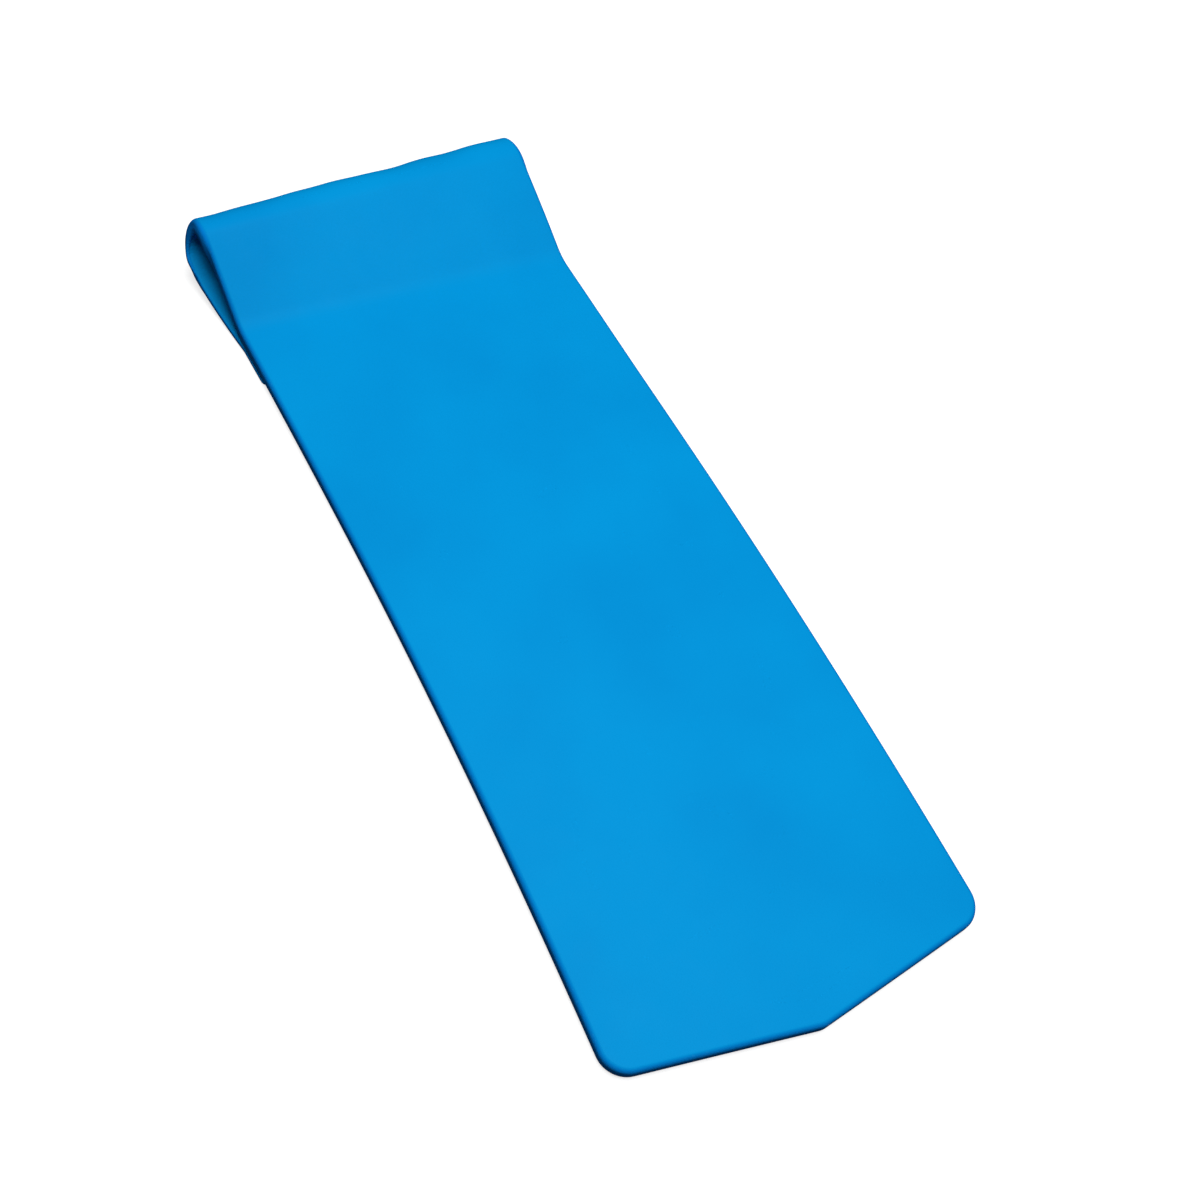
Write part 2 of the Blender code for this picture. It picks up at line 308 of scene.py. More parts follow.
bpy.ops.object.select_all(action="DESELECT")
bpy.ops.mesh.primitive_grid_add(x_subdivisions=COLUMNS, y_subdivisions=MAT_ROWS, size=1)
coat = bpy.context.object
coat.name = "vinyl_coat"
bpy.ops.object.mode_set(mode="EDIT")
bpy.ops.mesh.select_all(action="SELECT")
bpy.ops.transform.resize(value=(WIDTH, LIFT_START - SHARP_TIP_Y, 1))
bpy.ops.transform.translate(value=(0, (LIFT_START + SHARP_TIP_Y) / 2, THICKNESS))

for side in (-1, 1):
    bpy.ops.mesh.select_all(action="SELECT")
    bpy.ops.mesh.bisect(plane_co=(side * TIP_REACH, 0, 0), plane_no=(1, 0, 0))
    bpy.ops.mesh.select_all(action="SELECT")
    bpy.ops.mesh.bisect(
        plane_co=(0, SHARP_TIP_Y, THICKNESS),
        plane_no=(side * math.sin(FOOT_SWEEP), -math.cos(FOOT_SWEEP), 0),
        clear_outer=True,
    )
bpy.ops.object.mode_set(mode="OBJECT")
print("trimmed grid:", len(coat.data.polygons), "faces")

# %% Rounded corners of the foot
FOOT_CORNER_RADIUS = 0.047

corner_turn = math.pi / 2 - FOOT_SWEEP
corner_y = SHARP_TIP_Y + FOOT_POINT
corner_offset = FOOT_CORNER_RADIUS * math.tan(corner_turn / 2)
select_points(coat, lambda co: abs(co.x) > WIDTH / 2 - NEAR and abs(co.y - corner_y) < NEAR)
bpy.ops.mesh.bevel(affect="VERTICES", offset=corner_offset, segments=12, profile=0.5)
bpy.ops.object.mode_set(mode="OBJECT")
print("rounded foot:", len(coat.data.polygons), "faces")

# %% [markdown]
# ## Curling the head end
#
# The rest of the sheet grows out of the grid's last row of edges. A straight is an extrusion, and
# an arc is a spin about a line across the mat, so that each arc has exactly the radius that the
# route gives it. The row that each step leaves selected is the start of the next one.


# %% Extrude the straights and spin the arcs
def grow_straight(angle, length, rows):
    """Extrude the selected row of edges along the sheet, in equal rows."""
    step = along(angle) * length / rows
    for _ in range(rows):
        bpy.ops.mesh.extrude_region_move(TRANSFORM_OT_translate={"value": (0, step.x, step.y)})


def grow_arc(point, angle, end_angle, radius, segments):
    """Spin the selected row of edges about the arc's centre, from one angle to another."""
    bend = end_angle - angle
    centre = point + math.copysign(radius, bend) * outward(angle)
    bpy.ops.mesh.spin(steps=segments, angle=-bend, center=(0, centre.x, centre.y), axis=(1, 0, 0))
    return centre - math.copysign(radius, bend) * outward(end_angle)


select_points(coat, lambda co: abs(co.y - LIFT_START) < NEAR)
bpy.ops.mesh.select_mode(type="EDGE")
grow_arc(Vector((LIFT_START, THICKNESS)), 0, TAIL_SLOPE, LIFT_RADIUS, segments=4)
grow_straight(TAIL_SLOPE, (crease_start - lift_end).length, rows=2)
grow_arc(crease_start, TAIL_SLOPE, RISE_ANGLE, CREASE_RADIUS, segments=5)
grow_arc(rise_start, RISE_ANGLE, BROW_ANGLE, RISE_RADIUS, segments=5)
belly_start = grow_arc(rise_end, BROW_ANGLE, BELLY_TURN - math.pi, HEAD_RADIUS, segments=22)
grow_arc(belly_start, BELLY_TURN - math.pi, -math.pi, BELLY_RADIUS, segments=8)
grow_straight(-math.pi, GLUED_LENGTH, rows=3)
bpy.ops.object.mode_set(mode="OBJECT")
print("curled sheet:", len(coat.data.polygons), "faces")

# %% Rounded corners of the tail
TAIL_CORNER_RADIUS = 0.012


def is_tail_corner(co):
    """Whether this is one of the two corners in which the curled end stops, on the floor."""
    return abs(co.x) > WIDTH / 2 - NEAR and abs(co.y - TAIL_Y) < NEAR and co.z < NEAR


select_points(coat, is_tail_corner)
bpy.ops.mesh.bevel(affect="VERTICES", offset=TAIL_CORNER_RADIUS, segments=4, profile=0.5)
bpy.ops.object.mode_set(mode="OBJECT")
print("rounded tail:", len(coat.data.polygons), "faces")

# %% [markdown]
# ## Thickness
#
# Solidify gives the sheet its thickness, inwards from the face modelled so far. The head end is
# skived: it thins as it goes round the head, and only a few millimetres are left where it slips
# under the mat. A vertex group holds each point's share of the full thickness, and Solidify
# multiplies by it. A second group is filled in now, while the sheet is a single face and its places
# are easy to tell apart: it marks the left of the belly, for later.


# %% Where a point lies round the curl
ON_THE_ARC = 1e-4  # metres


def ease(value, start, end):
    """0 up to start, 1 from end on, and a smooth step between them."""
    share = min(max((value - start) / (end - start), 0), 1)
    return share * share * (3 - 2 * share)


def round_the_curl(co):
    """0 on the flat and the rise, 1 once round the head, 2 at the belly's end and on the tail."""
    from_head = Vector((co.y, co.z)) - head_centre
    from_belly = Vector((co.y - CREASE_Y, co.z - BELLY_RADIUS))
    if co.y > CREASE_Y and abs(from_belly.length - BELLY_RADIUS) < ON_THE_ARC:
        return 2 - math.atan2(from_belly.x, -from_belly.y) / BELLY_TURN
    if abs(from_head.length - HEAD_RADIUS) < ON_THE_ARC:
        turned = BROW_ANGLE + math.pi / 2 - math.atan2(from_head.y, from_head.x)
        return turned / (math.pi - BELLY_TURN + BROW_ANGLE)
    return 2 * (co.z < NEAR)


# %% Skive
def thickness_at(co):
    """How thick the sheet is at a point of its outer face."""
    curl = round_the_curl(co)
    if curl < 1:
        return THICKNESS + (BELLY_THICKNESS - THICKNESS) * ease(curl, 0, 1)
    if curl < 2:
        return BELLY_THICKNESS + (SEAM_THICKNESS - BELLY_THICKNESS) * (curl - 1)
    return TAIL_THICKNESS + (SEAM_THICKNESS - TAIL_THICKNESS) * (co.y - TAIL_Y) / GLUED_LENGTH


skive = coat.vertex_groups.new(name="skive")
for vertex in coat.data.vertices:
    skive.add([vertex.index], thickness_at(vertex.co) / THICKNESS, "REPLACE")
print("thinnest:", round(min(thickness_at(v.co) for v in coat.data.vertices), 4), "m")

# %% Mark the left of the belly
LEAN_INSET = 0.16  # metres to the left of the middle
LEAN_STARTS, LEAN_ALL_THERE = 0.35, 1.25  # how far round the curl
LEAN_GROWTH = 1.25  # the share gained from the crease to the head, cut off at 1


def left_of_belly(co):
    """0 at the crease, growing evenly to 1 along the belly's left edge, fading out up the head."""
    curl = round_the_curl(co)
    along_belly = LEAN_GROWTH * ease(curl, LEAN_STARTS, LEAN_ALL_THERE) * (2 - curl)
    return ease(-co.x, LEAN_INSET, WIDTH / 2) * min(along_belly, 1)


lean = coat.vertex_groups.new(name="belly_lean")
for vertex in coat.data.vertices:
    lean.add([vertex.index], left_of_belly(vertex.co), "REPLACE")
print("points that lean:", sum(left_of_belly(v.co) > 0 for v in coat.data.vertices))

# %% Solidify
solid = coat.modifiers.new("solid", "SOLIDIFY")
solid.thickness = THICKNESS
solid.offset = -1
solid.use_even_offset = True
solid.vertex_group = "skive"
bpy.ops.object.modifier_apply(modifier="solid")
print("solid sheet:", len(coat.data.polygons), "faces")

# %% [markdown]
# ## The rounded edge
#
# The foam is cut square, and the coat softens its edges to a round about a third of the thickness
# in radius. A Bevel modifier that follows edge weights can make that round smaller where the sheet
# is thinner. The sharp edges of the solid are just the ones that need it, so they are found by
# their angle. Two levels of subdivision then turn every facet of the mat into a smooth skin.

# %% Weighted bevel, then subdivision
EDGE_RADIUS = 0.0100
SHARP_ANGLE = math.radians(60)

bpy.ops.object.mode_set(mode="EDIT")
bpy.ops.mesh.select_all(action="SELECT")
bpy.ops.mesh.normals_make_consistent(inside=False)
bpy.ops.mesh.select_all(action="DESELECT")
bpy.ops.mesh.select_mode(type="EDGE")
bpy.ops.mesh.edges_select_sharp(sharpness=SHARP_ANGLE)
bpy.ops.object.mode_set(mode="OBJECT")

skive = coat.vertex_groups["skive"]
shares = [skive.weight(vertex.index) for vertex in coat.data.vertices]
weights = coat.data.attributes.new("bevel_weight_edge", "FLOAT", "EDGE")
for edge in coat.data.edges:
    if edge.select:
        weights.data[edge.index].value = sum(shares[i] for i in edge.vertices) / 2
print("edges to round:", sum(edge.select for edge in coat.data.edges))

rounding = coat.modifiers.new("rounding", "BEVEL")
rounding.limit_method = "WEIGHT"
rounding.width = EDGE_RADIUS
rounding.segments = 6
rounding.use_clamp_overlap = False
bpy.ops.object.modifier_apply(modifier="rounding")
smooth = coat.modifiers.new("smooth", "SUBSURF")
smooth.levels = smooth.render_levels = 2
bpy.ops.object.modifier_apply(modifier="smooth")
bpy.ops.object.shade_smooth()
print("rounded coat:", len(coat.data.polygons), "faces")

# %% [markdown]
# ## Marking the places
#
# While the coat is still straight and square, it is easy to say where each of its points lies on
# the sheet. So this is the time to mark places for later steps: vertex groups for what the curl
# does to the sheet's shape, and attributes that steer its finish: scuffs, wrinkles, and a deeper
# blue on the cut edges that is partly painted shade. Both stay with their points when the coat is
# bent.


# %% Where a point of the coat lies
HEAD_BAND = 0.10  # metres before the head's centre in which the curl's squeeze sets in


def hollow_middle(y):
    """The height halfway between the pillow's upper layer and its belly, this far along the mat."""
    return SEAM_THICKNESS + (head_centre.y - SEAM_THICKNESS) * max((y - CREASE_Y) / head_reach, 0)


def inner_share(co):
    """How deep a point is in the curl around the head: 0 at its outer face, 1 at its inner one."""
    from_head = Vector((co.y, co.z)) - head_centre
    depth = (HEAD_RADIUS - from_head.length) / BELLY_THICKNESS
    return min(max(depth, 0), 1) * ease(co.y, head_centre.x - HEAD_BAND, head_centre.x)


# %% Places of swell, ripple and rise
RIPPLE_STARTS, RIPPLE_ALL_THERE = 0.78, 0.83  # metres from the mat's middle, along it
LAYER_GAP = 0.008  # metres above the hollow's middle, clear of the belly
SIDE_MARGIN = (0.012, 0.12)  # metres in from a side, for no rise and for all of it
FOOT_MARGIN = (0.07, 0.20)  # the same, in from the foot


def weigh(name, weight_of):
    """Give the coat a vertex group whose weights follow from each point's place and normal."""
    group = coat.vertex_groups.new(name=name)
    for vertex in coat.data.vertices:
        group.add([vertex.index], weight_of(vertex.co, vertex.normal), "REPLACE")


def squeezed_edge(co, normal):
    """1 on the cut edge at the curl's inner side, falling to 0 at its outer side and off the edge."""
    return ease(abs(normal.x), 0.2, 0.9) * inner_share(co)


def far_side_of_head(co, normal):
    """1 where the head's outer face looks away from the foot."""
    on_head = ease(co.y, RIPPLE_STARTS, RIPPLE_ALL_THERE)
    return ease(normal.y, -0.2, 0.7) * on_head * (1 - inner_share(co))


def far_from_edges(co, normal):
    """1 over the middle of the mat's upper face, falling to 0 before its cut edges and its foot."""
    is_upper_face = co.z > max(THICKNESS / 2, hollow_middle(co.y) + LAYER_GAP)
    inward = ease(WIDTH / 2 - abs(co.x), *SIDE_MARGIN) * ease(co.y - FOOT_Y, *FOOT_MARGIN)
    return is_upper_face * inward * ease(normal.z, 0.3, 0.9)


weigh("edge_swell", squeezed_edge)
weigh("head_ripple", far_side_of_head)
weigh("face_rise", far_from_edges)
print("vertex groups:", [group.name for group in coat.vertex_groups])

# %% Attributes that the finishes read
FOOT_BAND = 0.1  # metres that take in the whole cut edge of the foot
TAIL_BAND = 0.008  # and the tail's
TAIL_TOP = 0.007
TUCK_INSET = 0.02  # metres past the crease where the wrinkles set in


# The deeper blue that the finish gives these upright edges is partly painted shade.
def cut_edge(co, normal):
    """1 where the skin stands upright along a cut edge of the sheet, and 0 on its faces."""
    at_tail = co.z < TAIL_TOP and abs(co.y - TAIL_Y) < TAIL_BAND
    at_an_end = co.y < FOOT_Y + FOOT_BAND or at_tail
    sideways = math.hypot(normal.x, normal.y) if at_an_end else abs(normal.x)
    return ease(sideways, 0.1, 0.9)


def inside_curl(co, normal):
    """1 where the skin faces the pillow's hollow near the head, falling to 0 at the crease."""
    past_centre = max(co.y - head_centre.x, 0)
    up_to_middle = hollow_middle(min(co.y, head_centre.x)) - co.z
    to_hollow = Vector((0, -past_centre, up_to_middle)).normalized()
    along_hollow = ease(co.y, CREASE_Y + TUCK_INSET, head_centre.x)
    return ease(normal.dot(to_hollow), 0.1, 0.8) * along_hollow


for name, mark_of in (("rim", cut_edge), ("tuck", inside_curl)):
    marks = coat.data.attributes.new(name, "FLOAT", "POINT")
    marks.data.foreach_set("value", [mark_of(v.co, v.normal) for v in coat.data.vertices])
    print(name, "marks", sum(mark.value > 0 for mark in marks.data), "points")

# %% [markdown]
# ## The belly leans out
#
# The mat wasn't curled quite square, and a slanted curl carries the belly sideways: at the left, a
# bright strip of it shows beyond the edge above. A Displace modifier that moves along X alone leans
# it out, where its vertex group says. It comes before the coat is set askew and bowed, because the
# skin of a straight curl slides along itself when it moves along X, and so stays clear of the foam
# inside it.

# %% Belly leaned out at the left
FLOOR_OF_CLOUDS = 0.12  # the texture's value that moves nothing
LEAN = 0.020


def push_out(group, strength, grain=0.0, direction="NORMAL"):
    """Move the coat, evenly or by a cloudy amount, where the vertex group says."""
    push = coat.modifiers.new(group, "DISPLACE")
    push.vertex_group = group
    push.strength = strength
    push.direction = direction
    push.mid_level = 0
    if grain:
        push.texture = bpy.data.textures.new(group, "CLOUDS")
        push.texture.noise_scale = grain
        push.texture.noise_depth = 1
        push.mid_level = FLOOR_OF_CLOUDS
    bpy.ops.object.modifier_apply(modifier=group)


push_out("belly_lean", -LEAN, direction="X")

# %% [markdown]
# ## Askew and bowed
#
# The slant itself comes next: the crease and the seam lie nearer to the head at the left side than
# at the right. Blender's shear needs a window, and it would shear the flat part too, so a short
# loop slides the points instead. The mat doesn't lie quite straight either: its middle is about an
# inch to one side of its ends. Simple Deform bends a mesh along its own X axis, so an empty that is
# turned a quarter circle lends it the mat's long axis instead. Once it is bent, the coat slides to
# its place in the construction model. The bow leaves the right edge's middle where it was, which
# shows how far the coat has to go sideways.

# %% Crease and seam set askew
SEAM_OFFSET = 0.050

for vertex in coat.data.vertices:
    y = vertex.co.y
    askew = ease(y, LIFT_START, TAIL_Y) - ease(y, CREASE_Y, LENGTH / 2)
    vertex.co.y = y - SEAM_OFFSET * vertex.co.x / WIDTH * askew

# %% Sideways bow
BOW = 0.026
BOW_RADIUS = (LENGTH / 2) ** 2 / (2 * BOW) + BOW / 2


def reach(axis):
    """The lowest and highest coordinate of the coat along one axis."""
    values = [vertex.co[axis] for vertex in coat.data.vertices]
    return min(values), max(values)


bpy.ops.object.empty_add(location=(0, 0, 0), rotation=(0, 0, math.pi / 2))
bow_axis = bpy.context.object
bpy.ops.object.select_all(action="DESELECT")
coat.select_set(True)
bpy.context.view_layer.objects.active = coat

bow = coat.modifiers.new("bow", "SIMPLE_DEFORM")
bow.deform_method = "BEND"
bow.deform_axis = "Z"
bow.origin = bow_axis
bow.angle = (reach(1)[1] - reach(1)[0]) / BOW_RADIUS
bpy.ops.object.modifier_apply(modifier="bow")
bpy.data.objects.remove(bow_axis, do_unlink=True)

to_place = (cad_high[0] - WIDTH / 2, -sum(reach(1)) / 2, 0)
bpy.ops.object.mode_set(mode="EDIT")
bpy.ops.mesh.select_all(action="SELECT")
bpy.ops.transform.translate(value=to_place)
bpy.ops.object.mode_set(mode="OBJECT")
print("coat spans", [round(v, 4) for axis in (0, 1, 2) for v in reach(axis)])

# %% [markdown]
# ## What the curl does to the sheet
#
# A thick sheet that is bent tightly is squeezed on its inner side and swells out sideways there, so
# its cut edge leans out around the head. Its outer skin isn't perfectly even either: the head's far
# edge ripples by a few millimetres, and the flat face has shallow rises that only a raking light
# shows. Displace modifiers make all three, each where its vertex group says. They move the skin
# outwards almost everywhere, because the foam lies less than a millimetre inside it.

# %% Swell, ripple and rise
SWELL = 0.005
RIPPLE = 0.010
RIPPLE_GRAIN = 0.13  # metres across a cloud
RISE = 0.004
RISE_GRAIN = 0.30

push_out("edge_swell", SWELL)
push_out("head_ripple", RIPPLE, grain=RIPPLE_GRAIN)
push_out("face_rise", RISE, grain=RISE_GRAIN)
print("coat now spans", [round(v, 4) for axis in (0, 1, 2) for v in reach(axis)])

# %% [markdown]
# ## Cast film
#
# The mat's coat is a vinyl that is poured or sprayed on as a liquid and cures to a film. Such a
# film is never one flat colour: it is a little deeper where it cured thicker, its gloss drifts from
# place to place, and the cells of the foam beneath show through as a fine dimpled grain. The cement
# in the seam is a cast film too, so the effect is a node group that both use with their own colours
# and scales. It reads Object coordinates, which are metres.


# %% Helpers for nodes and node groups
def new_group(name, inputs, outputs):
    """Start a shader node group with these sockets, and give its tree, input and output nodes."""
    tree = bpy.data.node_groups.new(name, "ShaderNodeTree")
    for socket, kind, value in inputs:
        tree.interface.new_socket(socket, in_out="INPUT", socket_type=kind).default_value = value
    for socket, kind in outputs:
        tree.interface.new_socket(socket, in_out="OUTPUT", socket_type=kind)
    return tree, tree.nodes.new("NodeGroupInput"), tree.nodes.new("NodeGroupOutput")


def add(tree, kind, settings=(), **values):
    """Add a node, set its options and give its sockets, by name or as s0, s1, a value or a link."""
    node = tree.nodes.new(kind)
    for option, choice in dict(settings).items():
        setattr(node, option, choice)
    for socket, value in values.items():
        by_number = socket[1:].isdigit()
        target = node.inputs[int(socket[1:]) if by_number else socket.replace("_", " ")]
        if isinstance(value, bpy.types.NodeSocket):
            tree.links.new(value, target)
        else:
            target.default_value = value
    return node


# %% Cast film
COLOUR, NUMBER = "NodeSocketColor", "NodeSocketFloat"
DRIFT_SCALE = 23.0
GLOSS_DRIFT = 0.09

cast_film, given, result = new_group(
    "cast_film",
    [
        ("Thin Colour", COLOUR, (0.5, 0.5, 0.5, 1)),
        ("Thick Colour", COLOUR, (0.4, 0.4, 0.4, 1)),
        ("Pool Scale", NUMBER, 4.0),
        ("Grain Scale", NUMBER, 400.0),
        ("Roughness", NUMBER, 0.5),
    ],
    [("Colour", COLOUR), ("Roughness", NUMBER), ("Height", NUMBER)],
)
place = add(cast_film, "ShaderNodeTexCoord").outputs["Object"]
pools = add(
    cast_film, "ShaderNodeTexNoise", Vector=place, Scale=given.outputs["Pool Scale"], Detail=3.0
)
thick = add(
    cast_film, "ShaderNodeMapRange", Value=pools.outputs["Fac"], From_Min=0.38, From_Max=0.66
)
film_colour = add(
    cast_film, "ShaderNodeMix", {"data_type": "RGBA"}, s0=thick.outputs["Result"],
    s6=given.outputs["Thin Colour"], s7=given.outputs["Thick Colour"],
)
drift = add(cast_film, "ShaderNodeTexNoise", Vector=place, Scale=DRIFT_SCALE, Detail=4.0)
gloss = add(
    cast_film, "ShaderNodeMapRange",
    Value=drift.outputs["Fac"], To_Min=-GLOSS_DRIFT, To_Max=GLOSS_DRIFT,
)
film_roughness = add(
    cast_film, "ShaderNodeMath", {"operation": "ADD"},
    s0=gloss.outputs["Result"], s1=given.outputs["Roughness"],
)
dimples = add(
    cast_film, "ShaderNodeTexVoronoi", {"feature": "SMOOTH_F1"},
    Vector=place, Scale=given.outputs["Grain Scale"], Smoothness=0.6,
)
cast_film.links.new(film_colour.outputs[2], result.inputs["Colour"])
cast_film.links.new(film_roughness.outputs["Value"], result.inputs["Roughness"])
cast_film.links.new(dimples.outputs["Distance"], result.inputs["Height"])
print("cast_film nodes:", len(cast_film.nodes))

# %% [markdown]
# ## The blue vinyl
#
# The coat is a clear, strong azure with hardly any gloss. Two attributes from the model steer it.
# "rim" marks the cut edges. There the colour turns a deeper blue, partly for the thicker film and
# partly as painted shade on the upright edges that turn from the light, and handling has scuffed
# them a little paler in specks. "tuck" marks the inside of the curl, where the skin is squeezed into
# fine wrinkles that run across the mat. The wrinkles are a noise that is stretched along X, and they
# only add to the height that the bump reads.

# %% Blue vinyl: colour
AZURE = (0.0006, 0.305, 0.708, 1)
DEEP_AZURE = (0.0005, 0.278, 0.670, 1)
# painted shade, partly real: the cut edges' deeper blue stands partly for thicker film, partly for
# shade on the upright edges
EDGE_FILM_AND_SHADE_AZURE = (0.0006, 0.195, 0.700, 1)
SCUFF_AZURE = (0.040, 0.360, 0.720, 1)
EDGE_FILM_AND_SHADE_SHARE = 0.8  # how much of the edges' deeper blue, part film and part painted shade, shows there
SCUFF_SHARE = 0.45

vinyl = bpy.data.materials.new("blue_vinyl")
vinyl.use_nodes = True
tree = vinyl.node_tree
shader = tree.nodes["Principled BSDF"]
film = add(
    tree, "ShaderNodeGroup", {"node_tree": cast_film},
    Thin_Colour=AZURE, Thick_Colour=DEEP_AZURE, Pool_Scale=3.2, Grain_Scale=430.0, Roughness=0.48,
)
rim_mark = add(tree, "ShaderNodeAttribute", {"attribute_name": "rim"})
place = add(tree, "ShaderNodeTexCoord").outputs["Object"]

# Painted shade, partly real: the rim mark mixes in the edges' deeper blue, part thicker film and part
# shade.
edge_film_and_shade = add(
    tree, "ShaderNodeMath", {"operation": "MULTIPLY"}, s0=rim_mark.outputs["Fac"], s1=EDGE_FILM_AND_SHADE_SHARE
)
edged = add(
    tree, "ShaderNodeMix", {"data_type": "RGBA"},
    s0=edge_film_and_shade.outputs["Value"], s6=film.outputs["Colour"], s7=EDGE_FILM_AND_SHADE_AZURE,
)
rubbing = add(tree, "ShaderNodeTexNoise", Vector=place, Scale=160.0, Detail=5.0, Roughness=0.7)
rubbed = add(
    tree, "ShaderNodeMapRange", Value=rubbing.outputs["Fac"], From_Min=0.60, From_Max=0.72
)
scuff = add(
    tree, "ShaderNodeMath", {"operation": "MULTIPLY"},
    s0=rubbed.outputs["Result"], s1=rim_mark.outputs["Fac"],
)
scuff_share = add(
    tree, "ShaderNodeMath", {"operation": "MULTIPLY"}, s0=scuff.outputs["Value"], s1=SCUFF_SHARE
)
scuffed = add(
    tree, "ShaderNodeMix", {"data_type": "RGBA"},
    s0=scuff_share.outputs["Value"], s6=edged.outputs[2], s7=SCUFF_AZURE,
)
tree.links.new(scuffed.outputs[2], shader.inputs["Base Color"])

# %% Blue vinyl: relief and gloss
WRINKLE_STRETCH = (0.09, 1.0, 1.0)
WRINKLE_SCALE = 170.0
WRINKLE_TO_GRAIN = 9.0  # how many times the grain's depth
GRAIN_DEPTH = 0.00018
VINYL_GLOSS = 0.015

tuck_mark = add(tree, "ShaderNodeAttribute", {"attribute_name": "tuck"})
stretched = add(tree, "ShaderNodeMapping", Vector=place, Scale=WRINKLE_STRETCH)
wrinkles = add(
    tree, "ShaderNodeTexNoise",
    Vector=stretched.outputs["Vector"], Scale=WRINKLE_SCALE, Detail=2.0, Distortion=0.4,
)
wrinkle_height = add(
    tree, "ShaderNodeMath", {"operation": "MULTIPLY"},
    s0=wrinkles.outputs["Fac"], s1=tuck_mark.outputs["Fac"],
)
height = add(
    tree, "ShaderNodeMath", {"operation": "MULTIPLY_ADD"},
    s0=wrinkle_height.outputs["Value"], s1=WRINKLE_TO_GRAIN, s2=film.outputs["Height"],
)
relief = add(
    tree, "ShaderNodeBump", Height=height.outputs["Value"], Distance=GRAIN_DEPTH, Strength=0.8
)
tree.links.new(film.outputs["Roughness"], shader.inputs["Roughness"])
tree.links.new(relief.outputs["Normal"], shader.inputs["Normal"])
shader.inputs["Specular IOR Level"].default_value = VINYL_GLOSS
coat.data.materials.append(vinyl)
print("blue_vinyl nodes:", len(tree.nodes))

# %% The coat stands for both skins
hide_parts("top_skin", "underside_skin")
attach(coat, "root")
print("the coat has", len(coat.data.polygons), "faces")

# %% [markdown]
# ## The layers inside
#
# The coat hides two foam plies, the scrim between them and most of the cement in the seam. They
# keep the shapes of the construction model, and each gets the finish that shows when the mat is
# taken apart. Closed-cell foam is a packing of tiny bubbles, which a Voronoi texture draws. Both
# plies use the same group: the upper one is a finer, whiter foam than the lower one.

# %% Foam cells
foam_cells, given, result = new_group(
    "foam_cells",
    [("Foam Colour", COLOUR, (0.8, 0.8, 0.8, 1)), ("Cell Scale", NUMBER, 600.0)],
    [("Colour", COLOUR), ("Roughness", NUMBER), ("Height", NUMBER)],
)
place = add(foam_cells, "ShaderNodeTexCoord").outputs["Object"]
cells = add(foam_cells, "ShaderNodeTexVoronoi", Vector=place, Scale=given.outputs["Cell Scale"])
wall = add(
    foam_cells, "ShaderNodeMapRange", Value=cells.outputs["Distance"], To_Min=0.70, To_Max=1.0
)
foam_colour = add(
    foam_cells, "ShaderNodeMix", {"data_type": "RGBA", "blend_type": "MULTIPLY"},
    s0=1.0, s6=given.outputs["Foam Colour"], s7=wall.outputs["Result"],
)
foam_roughness = add(
    foam_cells, "ShaderNodeMapRange", Value=cells.outputs["Distance"], To_Min=0.95, To_Max=0.75
)
foam_cells.links.new(foam_colour.outputs[2], result.inputs["Colour"])
foam_cells.links.new(foam_roughness.outputs["Result"], result.inputs["Roughness"])
foam_cells.links.new(cells.outputs["Distance"], result.inputs["Height"])
print("foam_cells nodes:", len(foam_cells.nodes))

# %% The two foam plies
FINE_FOAM = (0.78, 0.82, 0.85, 1)
COARSE_FOAM = (0.56, 0.62, 0.67, 1)
FOAM_RELIEF = 0.0006


def dress(node, material):
    """Give a carried-over CAD node its finish."""
    slots = bpy.data.objects[node].material_slots
    if slots:
        slots[0].material = material
    else:
        bpy.data.objects[node].data.materials.append(material)
    print(node, "wears", material.name)


def foam_finish(name, colour, cell_scale):
    """A closed-cell foam of this colour, with this many cells to the metre."""
    material = bpy.data.materials.new(name)
    material.use_nodes = True
    tree = material.node_tree
    shader = tree.nodes["Principled BSDF"]
    foam = add(
        tree, "ShaderNodeGroup", {"node_tree": foam_cells}, Foam_Colour=colour, Cell_Scale=cell_scale
    )
    relief = add(tree, "ShaderNodeBump", Height=foam.outputs["Height"], Distance=FOAM_RELIEF)
    tree.links.new(foam.outputs["Colour"], shader.inputs["Base Color"])
    tree.links.new(foam.outputs["Roughness"], shader.inputs["Roughness"])
    tree.links.new(relief.outputs["Normal"], shader.inputs["Normal"])
    shader.inputs["Specular IOR Level"].default_value = 0.25
    return material


dress("upper_foam_ply", foam_finish("fine_white_foam", FINE_FOAM, cell_scale=700.0))
dress("lower_foam_ply", foam_finish("coarse_grey_foam", COARSE_FOAM, cell_scale=480.0))

# %% [markdown]
# ## The scrim
#
# The scrim is an open weave of polyester yarn that stops the foam from tearing. Two sets of bands
# at right angles draw its yarns. Where the two cross, one yarn rides over the other, so their
# heights are added.

# %% Scrim
YARN_SCALE = 60.0
YARN_RELIEF = 0.0004
YARN_WHITE = (0.82, 0.82, 0.78, 1)
MESH_GREY = (0.35, 0.38, 0.40, 1)

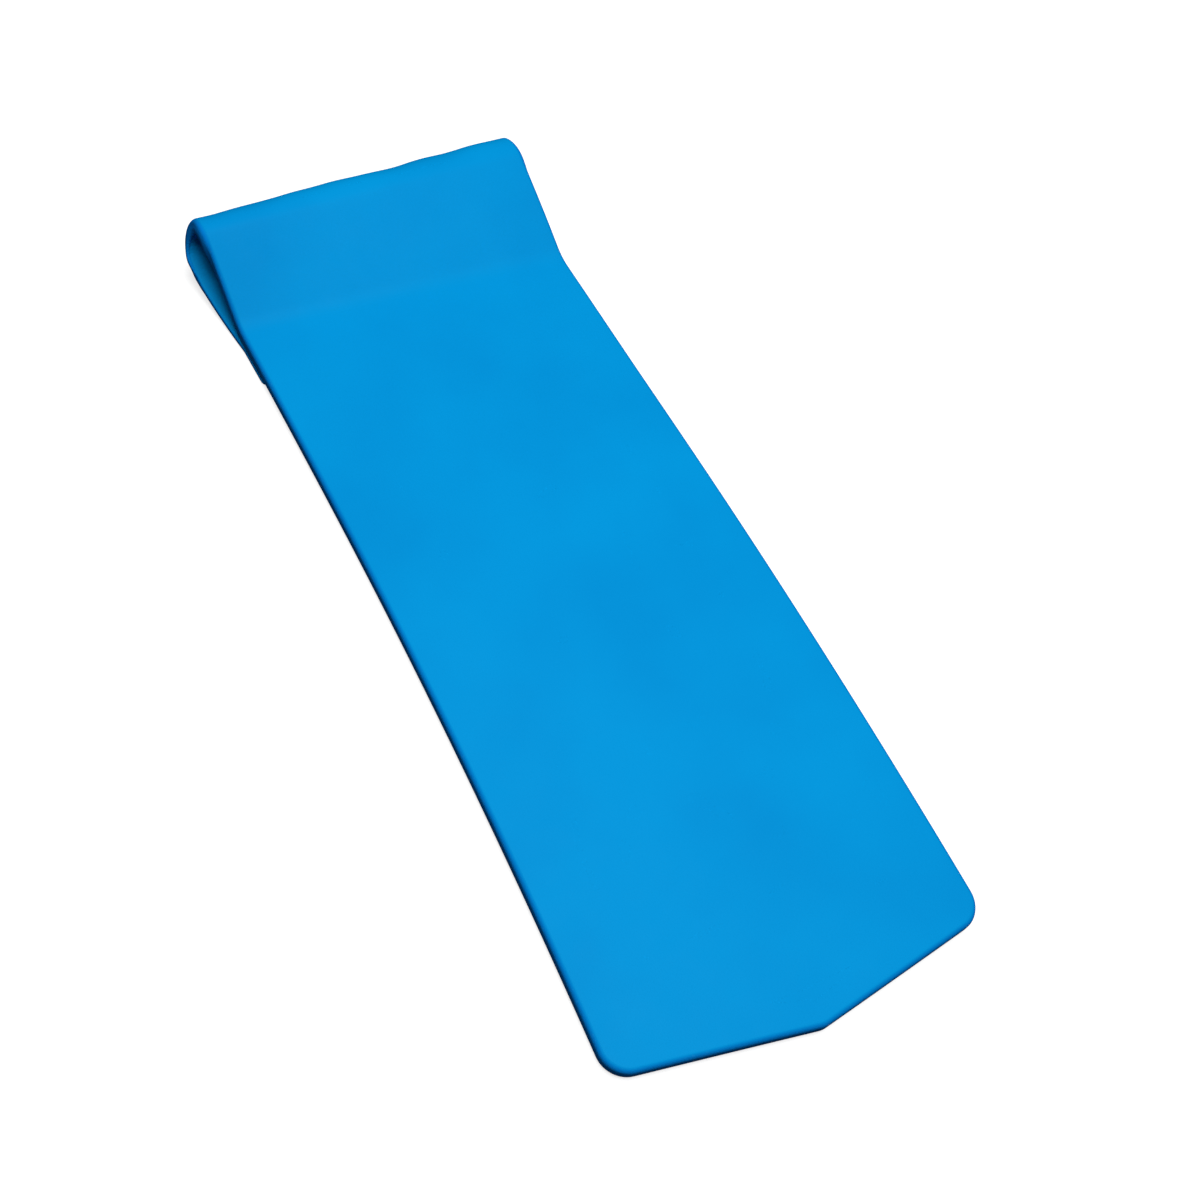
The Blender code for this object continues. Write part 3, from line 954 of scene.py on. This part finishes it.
scrim_cloth = bpy.data.materials.new("scrim_cloth")
scrim_cloth.use_nodes = True
tree = scrim_cloth.node_tree
shader = tree.nodes["Principled BSDF"]
place = add(tree, "ShaderNodeTexCoord").outputs["Object"]
warp, weft = (
    add(
        tree, "ShaderNodeTexWave", {"bands_direction": direction}, Vector=place, Scale=YARN_SCALE
    ).outputs["Fac"]
    for direction in "XY"
)
yarn = add(tree, "ShaderNodeMath", {"operation": "MAXIMUM"}, s0=warp, s1=weft)
crossing = add(tree, "ShaderNodeMath", {"operation": "ADD"}, s0=warp, s1=weft)
yarn_colour = add(
    tree, "ShaderNodeMix", {"data_type": "RGBA"},
    s0=yarn.outputs["Value"], s6=MESH_GREY, s7=YARN_WHITE,
)
relief = add(tree, "ShaderNodeBump", Height=crossing.outputs["Value"], Distance=YARN_RELIEF)
tree.links.new(yarn_colour.outputs[2], shader.inputs["Base Color"])
tree.links.new(relief.outputs["Normal"], shader.inputs["Normal"])
shader.inputs["Roughness"].default_value = 0.85
dress("reinforcing_scrim", scrim_cloth)

# %% [markdown]
# ## The cement in the seam
#
# The curled end is held by a contact cement that shows only as a thin line between the two layers.
# It dries to a glossy film, takes on the blue of the vinyl around it, and is uneven where it was
# brushed on.

# %% Cement
THIN_CEMENT = (0.002, 0.10, 0.24, 1)
THICK_CEMENT = (0.004, 0.05, 0.12, 1)
CEMENT_RELIEF = 0.0003

cement = bpy.data.materials.new("seam_cement")
cement.use_nodes = True
tree = cement.node_tree
shader = tree.nodes["Principled BSDF"]
film = add(
    tree, "ShaderNodeGroup", {"node_tree": cast_film},
    Thin_Colour=THIN_CEMENT, Thick_Colour=THICK_CEMENT,
    Pool_Scale=40.0, Grain_Scale=260.0, Roughness=0.34,
)
relief = add(tree, "ShaderNodeBump", Height=film.outputs["Height"], Distance=CEMENT_RELIEF)
tree.links.new(film.outputs["Colour"], shader.inputs["Base Color"])
tree.links.new(film.outputs["Roughness"], shader.inputs["Roughness"])
tree.links.new(relief.outputs["Normal"], shader.inputs["Normal"])
dress("pillow_glue_bond", cement)
